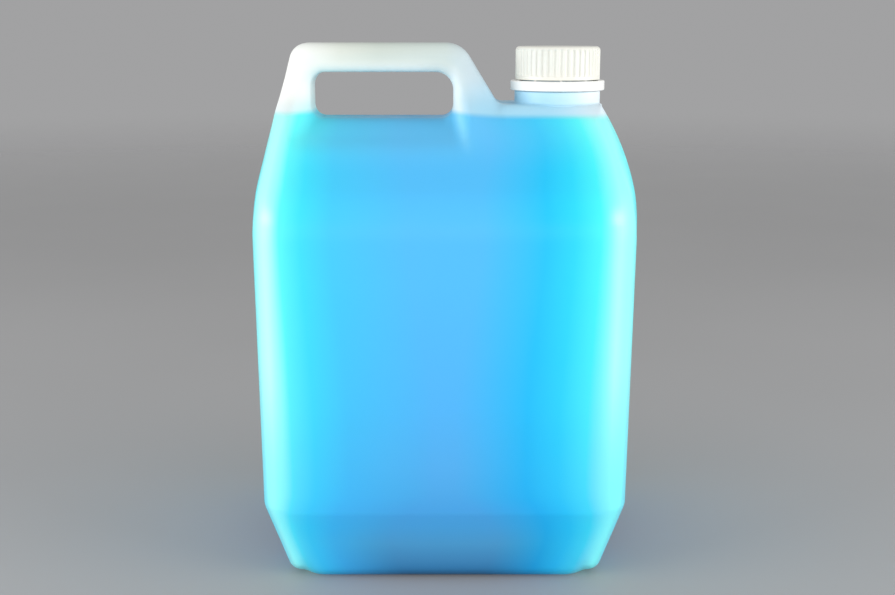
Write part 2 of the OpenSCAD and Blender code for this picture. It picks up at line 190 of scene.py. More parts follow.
# n + 1 points evenly spaced along a path
def spacedPath(path, n):
    length = np.concatenate([[0], np.cumsum(np.linalg.norm(np.diff(path, axis=0), axis=1))])
    even = np.linspace(0, length[-1], n + 1)
    return np.column_stack([np.interp(even, length, path[:, k]) for k in (0, 1)])


# Distance of each point from a path
def pathGap(points, path):
    shape = points.shape[:-1]
    points = points.reshape(-1, 2)
    nearest = np.full(len(points), 1e9)
    for a, b in zip(path[:-1], path[1:]):
        side = b - a
        along = np.clip((points - a) @ side / max(side @ side, 1e-9), 0, 1)
        nearest = np.minimum(nearest, np.linalg.norm(points - a - along[:, None] * side, axis=1))
    return nearest.reshape(shape)


# Depth lost at a distance inside an edge that is rounded to a radius
def edgeDrop(distance, radius):
    radius = np.maximum(radius, 0.01)
    short = np.maximum(0, 1 - distance / radius)
    return radius * (1 - np.sqrt(np.maximum(0, 1 - short * short)))


# The can: body and hollow handle

canLow, canHigh = nodeBox["bottle"]
bandLow, bandHigh = nodeBox["tamper_band"]
capLow, capHigh = nodeBox["cap"]
wadLow, wadHigh = nodeBox["sealing_wad"]
levelZ = nodeBox["liquid"][1][2]
neckX = (bandLow[0] + bandHigh[0]) / 2

can = {
    "roofZ": 229.0,
    "shoulderZ": 183.5,
    "footZ": 37.0,
    "footWidth": 151.8,
    "footDepth": 126.5,
    "width": 181.7,
    "depth": canHigh[1] - canLow[1],
    "wallLean": 1.8,
    "cornerRadius": 18.0,
    "footCornerRadius": 11.5,
    "footEdgeRadius": 8.0,
    "roofEdgeRadius": 8.0,
    "crestDepth": 46.0,
    "crestRadius": 3.0,
    "baseRise": 2.2,
    "wall": 1.4,
    "liquidGap": 0.3,
    "holeWidth": 70.6,
    "holeHeight": 22.4,
    "holeRight": 4.3,
    "holeDrop": 6.9,
    "holeRadius": 6.0,
    "holeLeftRadius": 6.8,
    "holeRightRadius": 8.9,
    "holeEdgeRadius": 5.5,
    "barHeight": 14.0,
    "handleDepth": 30.0,
    "handleEdgeRadius": 6.5,
    "legLeftTop": 8.3,
    "legLeftLow": 16.4,
    "legRightTop": 4.0,
    "legRightLow": 22.1,
    "barLeftRadius": 9.0,
    "barRightRadius": 14.0,
    "legFillet": 6.0,
    "footBendRadius": 10.0,
    "shoulderBendRadius": 32.0,
    "leanRadius": 150.0,
    "kneeRadius": 80.0,
    "arcDrop": 25.0,
    "arcRadius": 98.0,
    "pocketRise": 3.0,
    "pocketHeight": 26.0,
    "pocketPower": 1.6,
    "pocketSoftness": 5.0,
    "brimFadeIn": 5.0,
    "brimFadeOut": 14.0,
    "brimDrop": 12.0,
    "crestBlend": (4.0, 8.0),
    "pocketRight": (1.0, 10.0),
    "pocketLeft": (2.0, 12.0),
    "seamWidth": 0.6,
    "seamHeight": 0.14,
    "scarLength": 96.0,
    "scarHeight": 0.8,
}
holeLeft = can["holeRight"] - can["holeWidth"]
holeZ = can["roofZ"] - can["holeDrop"]
holeTopZ = holeZ + can["holeHeight"]
topZ = holeTopZ + can["barHeight"]
halfWidth = can["width"] / 2
halfDepth = can["depth"] / 2
collarRadius = 21.4
roofEndX = neckX + collarRadius - 1.2
legRightLowX = can["holeRight"] + can["legRightLow"]

# Corners of the outline, clockwise from the middle of the base
leftCorners = [
    [0, 0, 0], [-can["footWidth"] / 2, 0, can["footEdgeRadius"]],
    [can["wallLean"] - halfWidth, can["footZ"], can["footBendRadius"]],
    [0.4 - halfWidth, can["shoulderZ"], can["leanRadius"]],
    [holeLeft - can["legLeftLow"], can["roofZ"] - 1, can["kneeRadius"]]]
topCorners = [
    [holeLeft - can["legLeftTop"], topZ, can["barLeftRadius"]],
    [can["holeRight"] + can["legRightTop"], topZ, can["barRightRadius"]]]
rightCorners = [
    [legRightLowX, can["roofZ"], can["legFillet"]], [roofEndX, can["roofZ"], 0.5],
    [halfWidth, can["roofZ"] - can["arcDrop"], can["arcRadius"]],
    [halfWidth - can["wallLean"], can["footZ"], can["footBendRadius"]],
    [can["footWidth"] / 2, 0, can["footEdgeRadius"]], [0, 0, 0]]
outlineCorners = leftCorners + topCorners + rightCorners
# Corners of the side view, from the middle of the base up the front
sideCorners = [
    [0, 0, 0], [-can["footDepth"] / 2, 0, can["footEdgeRadius"]],
    [-halfDepth, can["footZ"], can["footBendRadius"]],
    [-halfDepth, can["shoulderZ"], can["shoulderBendRadius"]],
    [-can["crestDepth"] / 2, can["roofZ"], can["crestRadius"]], [0, can["roofZ"], 0]]
roofSlope = (can["roofZ"] - can["shoulderZ"]) / (can["depth"] - can["crestDepth"])
handleMeetZ = can["roofZ"] + (can["crestDepth"] - can["handleDepth"]) * roofSlope
handleSideCorners = sideCorners[:4] + [
    [-can["handleDepth"] / 2, handleMeetZ, 20], [-can["handleDepth"] / 2, topZ + 20, 0]]
holeMiddle = (holeLeft + can["holeRight"]) / 2
holeCorners = [
    [holeMiddle, holeZ, 0], [can["holeRight"], holeZ, can["holeRadius"]],
    [can["holeRight"], holeTopZ, can["holeRightRadius"]], [holeLeft, holeTopZ, can["holeLeftRadius"]],
    [holeLeft, holeZ, can["holeRadius"]], [holeMiddle, holeZ, 0]]


# Everything that a skin at a distance gap inside the outer surface needs
def skinPaths(gap):
    left = roundedPath(insetPath(leftCorners + topCorners[:1], gap))[1:]
    right = roundedPath(insetPath(rightCorners[1:], gap))[-2::-1]
    side = roundedPath(insetPath(sideCorners, gap))[1:-1]
    handleSide = roundedPath(insetPath(handleSideCorners, gap))[1:]
    return {
        "gap": gap,
        "outline": roundedPath(insetPath(outlineCorners, gap))[1:-1],
        "hole": roundedPath(insetPath(holeCorners, gap)),
        "left": left, "right": right, "side": side, "handleSide": handleSide}


def leftX(skin, z):
    return np.interp(z, skin["left"][:, 1], skin["left"][:, 0])


def rightX(skin, z):
    return np.interp(z, skin["right"][:, 1], skin["right"][:, 0])


# Half depth of the body before its edges are rounded. Under the neck it follows the side
# view up to the crest, and around the finger hole it dips to the handle's depth. Where the
# two meet, the lower one is taken softly: (a + b - sqrt((a - b)^2 + softness^2)) / 2
def plainDepth(skin, x, z):
    crest = np.interp(z, skin["side"][:, 1], -skin["side"][:, 0])
    handle = np.interp(z, skin["handleSide"][:, 1], -skin["handleSide"][:, 0])
    roof = mix(handle, crest, ease((x - neckX + collarRadius + can["crestBlend"][0]) / can["crestBlend"][1]))
    rise = np.maximum(0, holeZ + can["pocketRise"] - z) / can["pocketHeight"]
    dip = can["handleDepth"] / 2 - skin["gap"] + halfDepth * rise ** can["pocketPower"]
    right = ease((x - can["holeRight"] + can["pocketRight"][0]) / can["pocketRight"][1])
    left = ease((holeLeft + can["pocketLeft"][0] - x) / can["pocketLeft"][1])
    lower = (roof + dip - np.sqrt((roof - dip) ** 2 + can["pocketSoftness"] ** 2)) / 2
    lower = np.maximum(lower, can["handleDepth"] / 2 - skin["gap"])
    return mix(lower, roof, np.maximum(left, right))


# Rounding of the upright edges at a height
def edgeRadius(skin, z):
    heights = [0, can["footZ"], can["shoulderZ"], can["roofZ"], can["roofZ"] + can["roofEdgeRadius"]]
    radii = [can["footCornerRadius"], can["cornerRadius"], can["cornerRadius"],
             can["roofEdgeRadius"], can["handleEdgeRadius"]]
    return np.interp(z, heights, radii) - skin["gap"]


# The same at a point, tighter along the crest between the handle and the neck
def brimRadius(skin, x, z):
    share = ease((x - legRightLowX) / can["brimFadeIn"]) * ease((roofEndX - x) / can["brimFadeOut"])
    share = share * ease((z - can["roofZ"]) / can["brimDrop"] + 1)
    return mix(edgeRadius(skin, z), can["crestRadius"] - skin["gap"], share)


# Half depth at points [x, z] of the front view: the plain depth less a quarter round
# along the outline and another along the finger hole
def roundedDepth(skin, points):
    depth = plainDepth(skin, points[..., 0], points[..., 1])
    radius = np.minimum(brimRadius(skin, points[..., 0], points[..., 1]), depth - 3)
    holeRadius = can["holeEdgeRadius"] - skin["gap"]
    return (depth - edgeDrop(pathGap(points, skin["outline"]), radius)
            - edgeDrop(pathGap(points, skin["hole"]), holeRadius))


# How many columns and rows the skin has in each stretch, and lengths between the stretches
grid = {"leg": 22, "hole": 48, "roof": 18, "side": 14, "arc": 6, "slope": 34, "edge": 16, "strip": 7,
        "slopeStart": 20.0, "bendSpan": 3.0, "edgeBand": 10.0, "leastStep": 0.02, "filletShare": 0.6}
columns = 2 * grid["leg"] + grid["hole"] + grid["roof"] + grid["side"]


# A row of front-view points across the body at one height
def bodyRow(skin, z):
    x0, x1, radius = leftX(skin, z), rightX(skin, z), edgeRadius(skin, z)
    a = max(holeLeft, x0 + radius + 2)
    b, c = can["holeRight"], legRightLowX + 4
    x = np.concatenate([
        x0 + radius * startDense(grid["leg"] - 1),
        mix(a, b, np.arange(grid["hole"]) / grid["hole"]),
        mix(b, c, np.arange(grid["leg"]) / grid["leg"]),
        mix(c, x1 - radius, np.arange(grid["roof"]) / grid["roof"]),
        x1 - radius * startDense(grid["side"])[::-1]])
    return np.column_stack([x, np.full(len(x), z)])


# The top row: over the left leg's root, the floor of the hole, the right leg's root and the roof
def topRow(skin):
    gap = skin["gap"]
    r, floorZ = can["holeRadius"] + gap, holeZ - gap
    x0, x1 = holeLeft - gap, can["holeRight"] + gap
    cornerIn = r * (1 - math.cos(math.pi / 4))
    z0 = floorZ + cornerIn
    filletX = legRightLowX + (can["legFillet"] + gap) * grid["filletShare"]
    endX = rightX(skin, can["roofZ"] - gap)
    sideR = min(edgeRadius(skin, can["roofZ"]), (endX - filletX) / 2)
    arc = np.linspace(math.pi / 4, math.pi / 2, grid["arc"] + 1)
    floorN = grid["hole"] - 2 * grid["arc"]
    legX = mix(leftX(skin, z0), x0 + cornerIn, endDense(grid["leg"]))[:-1]
    legShare = endDense(grid["leg"])[:-1]
    leftArc = np.column_stack([x0 + r - r * np.cos(arc), floorZ + r - r * np.sin(arc)])
    rightArc = np.column_stack([x1 - r + r * np.cos(arc), floorZ + r - r * np.sin(arc)])[::-1]
    floor = np.column_stack([np.linspace(x0 + r, x1 - r, floorN + 1), np.full(floorN + 1, floorZ)])
    return np.vstack([
        np.column_stack([legX, np.full(len(legX), z0)]),
        leftArc[:-1], floor, rightArc[1:-1],
        np.column_stack([mix(x1 - cornerIn, filletX, legShare),
                         mix(z0, can["roofZ"] - gap, ease(legShare))]),
        np.column_stack([mix(filletX, endX - sideR, np.arange(grid["roof"]) / grid["roof"]),
                         np.full(grid["roof"], can["roofZ"] - gap)]),
        np.column_stack([endX - sideR * startDense(grid["side"])[::-1],
                         np.full(grid["side"] + 1, can["roofZ"] - gap)])])


# All rows of the body, from the rounding under the foot to the top row
def bodyGrid(skin):
    gap, foot = skin["gap"], can["footZ"]
    r = can["footEdgeRadius"] - gap
    start, span = can["shoulderZ"] - grid["slopeStart"], grid["bendSpan"]
    bend = np.linspace(-span, span, 9)
    heights = np.concatenate([
        gap + r * startDense(8), np.linspace(gap + r, foot - span, 8)[1:-1],
        foot + bend, np.linspace(foot + span, start, 22)[1:]])
    rows = [bodyRow(skin, z) for z in heights]
    low, top = rows[-1], topRow(skin)
    edge, least = grid["edgeBand"], grid["leastStep"]
    height = top[:, 1] - start
    for k in range(1, grid["slope"] + grid["edge"] + 1):
        if k <= grid["slope"]:
            share = (height - edge) / height * k / grid["slope"]
        else:
            rest = math.cos((k - grid["slope"]) / grid["edge"] * math.pi / 2)
            share = 1 - edge / height * rest * math.sqrt(rest) if rest > 1e-9 else np.ones(len(height))
        z = start + height * share
        x = mix(low[:, 0], top[:, 0], ease(share))
        left, right = leftX(skin, z), rightX(skin, z)
        order = np.arange(columns + 1)
        x = np.clip(x, left + least * order, right - least * (columns - order))
        x[0], x[-1] = left[0], right[-1]
        row = np.column_stack([x, z])
        rows.append(top if k == grid["slope"] + grid["edge"] else row)
    return np.array(rows)


# Sections of the handle from the left leg's root over the bar to the right leg's root.
# Each runs from the outline to the finger hole
def handleGrid(skin):
    gap = skin["gap"]
    c, h = insetPath(outlineCorners, gap), insetPath(holeCorners, gap)
    x0, x1, low, high = h[3, 0], h[1, 0], h[0, 1], h[2, 1]
    rLow, rLeft, rRight = h[4, 2], h[3, 2], h[2, 2]
    z0 = low + rLow * (1 - math.cos(math.pi / 4))
    zLeft, zRight, barZ = high - rLeft, high - rRight, high + can["barHeight"] - 2 * gap
    slopeX = mix(c[6, 0], c[7, 0], (c[6, 1] - zRight) / (c[6, 1] - c[7, 1]))
    leftBend, rightBend = roundedPath(c[4:7])[1:-1], roundedPath(c[5:8])[1:-1]
    fillet = roundedPath(c[6:9])
    filletX = legRightLowX + (can["legFillet"] + gap) * grid["filletShare"]
    inFillet = (fillet[:, 1] < zRight) & (fillet[:, 0] < filletX - 0.2) & (fillet[:, 0] > slopeX)
    quarter = np.linspace(0, math.pi / 2, 13)
    eighth = np.linspace(math.pi / 4, 0, 7)

    def around(x, z, r, angles):
        return np.column_stack([x + r * np.cos(angles), z + r * np.sin(angles)])

    outer = [
        [[leftX(skin, z0), z0], [leftX(skin, zLeft), zLeft]],
        [[leftX(skin, zLeft), zLeft], *leftBend, [x0 + rLeft, barZ]],
        [[x0 + rLeft, barZ], [x1 - rRight, barZ]],
        [[x1 - rRight, barZ], *rightBend, [slopeX, zRight]],
        [[slopeX, zRight], *fillet[inFillet], [filletX, can["roofZ"] - gap]]]
    inner = [
        [*around(x0 + rLow, low + rLow, rLow, math.pi + eighth), [x0, zLeft]],
        around(x0 + rLeft, zLeft, rLeft, math.pi - quarter),
        [[x0 + rLeft, high], [x1 - rRight, high]],
        around(x1 - rRight, zRight, rRight, quarter[::-1]),
        [[x1, zRight], *around(x1 - rLow, low + rLow, rLow, -eighth[::-1])]]
    counts = [16, 22, 14, 22, 22]
    across = endDense(grid["leg"])[None, :, None]
    sections = []
    for k, count in enumerate(counts):
        outs = spacedPath(np.array([list(p) for p in outer[k]]), count)
        ins = spacedPath(np.array([list(p) for p in inner[k]]), count)
        last = count + 1 if k == 4 else count
        sections.append(mix(outs[:last, None], ins[:last, None], across))
    return np.vstack(sections)


# A strip between the front and the back skin, along a loop of front-view points.
# With a seam, a low ridge runs along its middle
def stripGrid(loop, depth, seam):
    half = can["seamWidth"]
    share = np.linspace(1, 0, grid["strip"] + 1)
    front = -(half + (depth[:, None] - half) * share)
    y = np.concatenate([front, np.full((len(loop), 1), -half / 2),
                        np.full((len(loop), 1), half / 2), -front[:, ::-1]], axis=1)
    step = np.gradient(loop, axis=0)
    normal = np.column_stack([-step[:, 1], step[:, 0]])
    normal /= np.maximum(np.linalg.norm(normal, axis=1), 1e-9)[:, None]
    ridge = np.zeros(y.shape[1])
    ridge[grid["strip"] + 1:grid["strip"] + 3] = can["seamHeight"] if seam else 0
    ends = ease(np.minimum(np.arange(len(loop)), np.arange(len(loop))[::-1]) / 3)
    lift = ridge[None, :] * ends[:, None]
    return np.stack([loop[:, :1] + normal[:, :1] * lift, y, loop[:, 1:] + normal[:, 1:] * lift], axis=-1)


# Rise of the hollow underside, less the scar along its middle where the mould pinched it off
def baseHollow(x, y, seam):
    inside = np.minimum(can["footWidth"] / 2 - np.abs(x), can["footDepth"] / 2 - np.abs(y))
    rise = can["baseRise"] * ease((inside - can["footEdgeRadius"] - 5) / 10)
    onScar = np.clip((can["seamWidth"] - np.abs(y)) / can["seamWidth"] * 2, 0, 1)
    scar = onScar * ease((can["scarLength"] / 2 - np.abs(x)) / 4)
    return rise - (can["scarHeight"] * scar if seam else 0)


# The closed mesh of a skin: front and back are one function of the front view, joined by
# strips along the outline and the finger hole
def canMesh(name, skin, seam=False):
    body, ring = bodyGrid(skin), handleGrid(skin)
    leg, rightRoot = grid["leg"], 2 * grid["leg"] + grid["hole"]
    ring[0] = body[-1, :leg + 1]
    ring[-1] = body[-1, rightRoot - leg:rightRoot + 1][::-1]
    bodyDepth, ringDepth = roundedDepth(skin, body), roundedDepth(skin, ring)
    grids = []
    for points, depth in ((body, bodyDepth), (ring, ringDepth)):
        for side in (-1, 1):
            sheet = np.stack([points[..., 0], side * depth, points[..., 1]], axis=-1)
            grids.append((sheet, side < 0))
    outerLoop = np.vstack([body[:, 0], ring[1:-1, 0], body[-1, rightRoot:], body[-2::-1, -1]])
    outerDepth = np.concatenate([bodyDepth[:, 0], ringDepth[1:-1, 0],
                                 bodyDepth[-1, rightRoot:], bodyDepth[-2::-1, -1]])
    holeLoop = np.vstack([ring[:, -1], body[-1, leg:rightRoot - leg + 1][::-1]])
    holeDepth = np.concatenate([ringDepth[:, -1], bodyDepth[-1, leg:rightRoot - leg + 1][::-1]])
    keep = np.concatenate([[True], np.linalg.norm(np.diff(holeLoop, axis=0), axis=1) > 1e-4])
    grids.append((stripGrid(outerLoop, outerDepth, seam), False))
    grids.append((stripGrid(holeLoop[keep], holeDepth[keep], False), True))
    under = stripGrid(body[0], bodyDepth[0], False)
    under[..., 2] += baseHollow(under[..., 0], under[..., 1], seam)
    grids.append((under, True))
    return meshFromGrids(name, grids)


# Neck, cap, band and wad: surfaces of revolution about the neck's axis

# A profile [radius, height] carried round the axis. shape may move its points by angle
def turned(profile, angles, shape=None):
    profile = np.asarray(profile, float)
    radius = np.broadcast_to(profile[:, 0], (len(angles), len(profile))).copy()
    height = np.broadcast_to(profile[:, 1], (len(angles), len(profile))).copy()
    angle = np.broadcast_to(angles[:, None], radius.shape)
    if shape is not None:
        radius, height = shape(radius, height, angle)
    sheet = np.stack([neckX + radius * np.cos(angle), radius * np.sin(angle), height], axis=-1)
    return np.concatenate([sheet, sheet[:1]])


# A closed or open profile of [radius, height, rounding] with short arcs at its corners
def softProfile(corners, degrees=18):
    return roundedPath(np.array(corners, float), degrees)


def evenAngles(n):
    return np.arange(n) / n * 2 * math.pi


# Extra points where two neighbours of a profile lie further apart than a length
def filledProfile(profile, longest):
    parts = [profile[:1]]
    for a, b in zip(profile[:-1], profile[1:]):
        n = max(1, math.ceil(np.linalg.norm(b - a) / longest))
        parts.append(a + (b - a) * (np.arange(1, n + 1) / n)[:, None])
    return np.vstack(parts)


# Height of a right-handed thread's ridge: the helix climbs one pitch for each turn, and the
# ridge is a soft trapezoid across it, with both ends run out over a quarter turn
def threadRidge(angle, z, thread):
    pitch = thread["pitch"]
    turn = angle / (2 * math.pi)
    whole = np.round((z - thread["startZ"]) / pitch - turn)
    along = turn + whole
    off = np.abs(z - thread["startZ"] - pitch * along)
    across = ease((thread["rootWidth"] / 2 - off) / (thread["rootWidth"] - thread["crestWidth"]) * 2)
    ends = ease(along / 0.25) * ease((thread["turns"] - along) / 0.25)
    return thread["height"] * across * ends


neck = {
    "rootRadius": 17.6,
    "boreRadius": 15.6,
    "collarRadius": collarRadius,
    "collarTop": bandLow[2] - 0.3,
    "beadRadius": 20.1,
    "beadZ": bandHigh[2] - 2.6,
    "beadHeight": 1.4,
    "rimZ": wadLow[2] - 0.05,
    "flare": 1.3,
    "flareShare": 0.4,
    "skirtDepths": (-6.0, -0.4),
    "skirtSink": 0.12,
    "coreDrop": 14.0,
    "boreDrop": 12.0,
    "mouthFlare": 0.5,
    "mouthAbove": 8.0,
    "thread": {"pitch": 4.0, "startZ": bandHigh[2] + 1.6, "turns": 2.1, "height": 1.0,
               "rootWidth": 2.0, "crestWidth": 0.9},
}


# Height of the roof beside the neck, where the can's half depth equals a distance from
# its middle plane: found by halving
def roofHeight(skin, x, y):
    low, high = np.full(x.shape, can["shoulderZ"]), np.full(x.shape, can["roofZ"])
    for _ in range(24):
        middle = (low + high) / 2
        outside = roundedDepth(skin, np.stack([x, middle], axis=-1)) < np.abs(y)
        high, low = np.where(outside, middle, high), np.where(outside, low, middle)
    return high


# The neck's outer body: a collar that flares softly into the roof, the bead and the thread
def neckMesh(skin):
    angles = evenAngles(160)
    r = neck["collarRadius"]
    rootX, rootY = neckX + r * np.cos(angles), r * np.sin(angles)
    base = np.minimum(roofHeight(skin, rootX, rootY), can["roofZ"])
    base = np.where(rootX > roofEndX, np.minimum(base, roofAt(skin, rootX)), base)
    beadTop = neck["beadZ"] + neck["beadHeight"]
    upper = softProfile([
        [r, neck["collarTop"] - 3, 0], [r, neck["collarTop"], 0.7],
        [neck["rootRadius"], neck["collarTop"], 0.4],
        [neck["rootRadius"], neck["beadZ"], 0.3], [neck["beadRadius"], neck["beadZ"] + 0.3, 0.25],
        [neck["beadRadius"] - 0.7, beadTop, 0.4], [neck["rootRadius"], beadTop, 0.3],
        [neck["rootRadius"], neck["rimZ"], 0.5], [neck["boreRadius"] - 3, neck["rimZ"], 0]])
    upper = np.vstack([upper[upper[:, 1] < beadTop - 0.1],
                       filledProfile(upper[upper[:, 1] >= beadTop - 0.1], 0.34)])
    flareAngle = np.linspace(0, math.pi / 2, 8)
    flareR = neck["flare"] * (1 - np.sin(flareAngle))
    flareZ = neck["flare"] * (1 - np.cos(flareAngle))

    def shaped(radius, height, angle):
        ridge = threadRidge(angle, height, neck["thread"])
        radius = radius + np.where(np.abs(radius - neck["rootRadius"]) < 0.02, ridge, 0)
        return radius, height

    sheet = turned(upper, angles, shaped)
    lowZ = base[:, None] + np.concatenate([neck["skirtDepths"], flareZ])[None, :] - neck["skirtSink"]
    flares = np.concatenate([[neck["flare"] * neck["flareShare"], neck["flare"]], flareR])
    lowR = r + flares[None, :] + 0 * lowZ
    skirt = np.stack([neckX + lowR * np.cos(angles)[:, None], lowR * np.sin(angles)[:, None], lowZ], axis=-1)
    skirt = np.concatenate([skirt, skirt[:1]])
    floor = np.broadcast_to([neckX, 0, can["roofZ"] - neck["coreDrop"]], (len(skirt), 1, 3))
    crown = np.broadcast_to([neckX, 0, neck["rimZ"]], (len(skirt), 1, 3))
    sheet = np.concatenate([floor, skirt, sheet, crown], axis=1)
    return meshFromGrids("neckBody", [(sheet, False)])


# Height of the outline above a place on the right-hand shoulder
def roofAt(skin, x):
    right = skin["right"]
    upper = right[right[:, 1] > can["shoulderZ"]]
    return np.interp(x, upper[::-1, 0], upper[::-1, 1])


# The bore, which opens a little at the rim
def boreMesh():
    floorZ, mouthZ = can["roofZ"] - neck["boreDrop"], neck["rimZ"] + neck["mouthAbove"]
    mouthRadius = neck["boreRadius"] + neck["mouthFlare"]
    profile = softProfile([
        [0, floorZ, 0], [neck["boreRadius"], floorZ, 0.2], [neck["boreRadius"], neck["rimZ"] - 0.4, 0.3],
        [mouthRadius, neck["rimZ"] + 0.1, 0.2], [mouthRadius, mouthZ, 0.2], [0, mouthZ, 0]])
    return meshFromGrids("bore", [(turned(profile, evenAngles(160)), False)])


print("making the bottle")
outerSkin = skinPaths(0)
outerCan = canMesh("outerCan", outerSkin, seam=True)
innerCan = canMesh("innerCan", skinPaths(can["wall"]))
shellMesh = solidWork("bottleShell", outerCan, [
    ("UNION", neckMesh(outerSkin)), ("DIFFERENCE", innerCan), ("DIFFERENCE", boreMesh())])
bottleShell = newPiece("bottleShell", shellMesh)
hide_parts("bottle")
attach(bottleShell, "bottle")
print("  triangles of the shell:", triangleCount(shellMesh))


# The liquid: the can's inside up to its level

def liquidMesh():
    inside = canMesh("liquidInside", skinPaths(can["wall"] + can["liquidGap"]))
    above = boxMesh("aboveLevel", [-halfWidth, -halfDepth, levelZ], [halfWidth, halfDepth, 2 * topZ])
    return solidWork("floorCleaner", inside, [("DIFFERENCE", above)])


# A box between two corners, with its faces outwards
def boxMesh(name, low, high):
    mesh = bpy.data.meshes.new(name)
    corners = [(x, y, z) for x in (low[0], high[0]) for y in (low[1], high[1]) for z in (low[2], high[2])]
    sides = [(0, 1, 3, 2), (4, 6, 7, 5), (0, 4, 5, 1), (2, 3, 7, 6), (0, 2, 6, 4), (1, 5, 7, 3)]
    mesh.from_pydata((np.array(corners) * metre).tolist(), [], sides)
    return mesh


print("making the liquid")
cleanerMesh = liquidMesh()
floorCleaner = newPiece("floorCleaner", cleanerMesh)
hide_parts("liquid")
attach(floorCleaner, "bottle")
print("  triangles of the liquid:", triangleCount(cleanerMesh))

# Cap

cap = {
    "radius": (capHigh[0] - capLow[0]) / 2,
    "bottomZ": capLow[2],
    "topZ": capHigh[2],
    "topThickness": 1.5,
    "skirtRadius": 19.0,
    "edgeRadius": 2.0,
    "grooves": 44,
    "grooveWidth": 1.3,
    "grooveDepth": 0.6,
    "plainRing": 1.8,
    "dish": 0.25,
    "thread": {"pitch": 4.0, "startZ": neck["thread"]["startZ"] - 2.0, "turns": 2.6, "height": 0.95,
               "rootWidth": 1.5, "crestWidth": 0.7},
}


def capMesh():
    pitch = 2 * math.pi / cap["grooves"]
    half = cap["grooveWidth"] / 2 / cap["radius"]
    # One column between two grooves, and six across each groove
    offsets = np.concatenate([[-0.5 * pitch], half * np.array([-1.7, -1.2, -0.75, 0.75, 1.2, 1.7])])
    angles = (np.arange(cap["grooves"])[:, None] * pitch + offsets[None, :]).reshape(-1)
    innerZ = cap["topZ"] - cap["topThickness"]
    edge = cap["edgeRadius"]
    outside = softProfile([
        [0, cap["topZ"] - cap["dish"], 0], [cap["radius"] - edge - 1.6, cap["topZ"] - cap["dish"], 3],
        [cap["radius"] - edge, cap["topZ"], 1.2], [cap["radius"], cap["topZ"] - 0.1, edge],
        [cap["radius"], cap["bottomZ"], 0.35], [cap["skirtRadius"] + 0.5, cap["bottomZ"], 0.3],
        [cap["skirtRadius"], cap["bottomZ"] + 0.6, 0.4], [cap["skirtRadius"], innerZ, 0.6],
        [0, innerZ, 0]], 12)
    profile = filledProfile(outside, 0.45)
    grooveLow = cap["bottomZ"] + cap["plainRing"]
    grooveHigh = cap["topZ"] - edge * 0.55

    def shaped(radius, height, angle):
        near = np.abs((angle / pitch + 0.5) % 1 - 0.5) * pitch
        across = ease((1.5 * half - near) / (0.9 * half))
        up = ease((height - grooveLow) / 0.5) * ease((grooveHigh - height) / 0.9)
        outer = ease((radius - cap["skirtRadius"] - 0.6) / 0.6)
        groove = cap["grooveDepth"] * across * up * outer
        inner = np.abs(radius - cap["skirtRadius"]) < 0.02
        thread = threadRidge(angle, height, cap["thread"]) * ease((innerZ - 0.8 - height) / 0.5)
        thread = thread * ease((height - cap["bottomZ"] - 1.0) / 0.5)
        return radius - groove - np.where(inner, thread, 0), height

    return meshFromGrids("screwCap", [(turned(profile, angles, shaped), True)])


print("making the cap, the band and the wad")
screwCap = newPiece("screwCap", capMesh())
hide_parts("cap")
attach(screwCap, "cap")

# Tear-off band, with the stubs of its bridges on top

band = {
    "radius": (bandHigh[0] - bandLow[0]) / 2,
    "bottomZ": bandLow[2],
    "topZ": capLow[2] - 0.4,
    "neckPlay": 1.1,
    "beadPlay": 0.4,
    "beadRest": 0.15,
    "bridges": 10,
    "bridgeHeight": bandHigh[2] - capLow[2] + 0.4,
    "bridgeIn": 1.2,
    "bridgeWidth": 1.0,
    "bridgeThickness": 0.7,
}


def bandMesh():
    innerR = neck["rootRadius"] + band["neckPlay"]
    overBead = neck["beadRadius"] + band["beadPlay"]
    holdZ = neck["beadZ"] - band["beadRest"]
    corners = [
        [band["radius"], (band["bottomZ"] + band["topZ"]) / 2, 0],
        [band["radius"], band["bottomZ"], 0.5], [innerR, band["bottomZ"], 0.3],
        [innerR, holdZ, 0.25], [overBead, holdZ, 0.15], [overBead, band["topZ"], 0.12],
        [band["radius"], band["topZ"], 0.6], [band["radius"], (band["bottomZ"] + band["topZ"]) / 2, 0]]
    profile = filledProfile(softProfile(corners), 0.3)
    spacing = 2 * math.pi / band["bridges"]
    half = band["bridgeWidth"] / 2 / band["radius"]
    steps = np.linspace(0.5 * spacing + 1.6 * half, 1.5 * spacing - 1.6 * half, 22)
    near = 0.5 * spacing + np.array([-1.25, -0.85, 0.85, 1.25]) * half
    offsets = np.concatenate([near, steps])
    angles = (np.arange(band["bridges"])[:, None] * spacing + offsets[None, :]).reshape(-1)
    middleR = cap["skirtRadius"] + band["bridgeIn"] + band["bridgeThickness"] / 2

    def shaped(radius, height, angle):
        off = np.abs((angle / spacing) % 1 - 0.5) * spacing
        across = ease((1.3 * half - off) / (0.5 * half))
        onTop = height > band["topZ"] - 0.02
        out = ease((band["bridgeThickness"] / 2 + 0.35 - np.abs(radius - middleR - 0.2)) / 0.3)
        return radius, height + np.where(onTop, band["bridgeHeight"] * across * out, 0)

    return meshFromGrids("tearOffBand", [(turned(profile, angles, shaped), True)])


tearOffBand = newPiece("tearOffBand", bandMesh())
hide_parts("tamper_band")
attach(tearOffBand, "bottle")

# Sealing wad, with the ring that the rim has pressed into it

wad = {"radius": (wadHigh[0] - wadLow[0]) / 2, "printDepth": 0.12, "printEdge": 0.5}


